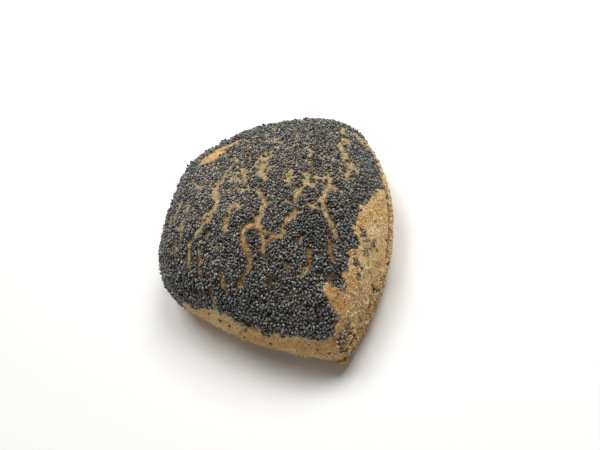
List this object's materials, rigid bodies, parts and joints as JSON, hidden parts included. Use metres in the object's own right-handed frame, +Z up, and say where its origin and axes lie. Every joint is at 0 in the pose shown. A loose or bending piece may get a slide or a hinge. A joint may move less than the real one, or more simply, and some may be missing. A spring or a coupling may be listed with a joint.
{
  "type": "poppy seed bread roll",
  "caption": "Square-cut bread roll: a puffy four-sided dome of crust with one pointed corner, on a flat base, for table settings and food displays.",
  "frame": {"origin": "centre of the bounding box at the flat base, on the surface that the roll rests on", "axes": "+Z up, the crown of the roll; +X out of its right side and +Y out of its back side, so that the pointed corner lies towards +X and -Y"},
  "size_m": [0.0842, 0.0892, 0.0442],
  "materials": {
    "crust": "baked wholemeal crust, matt, tan with browner cracks and a faint dusting of flour"
  },
  "bodies": {
    "root": {"roll": "crust"}
  },
  "joints": []
}
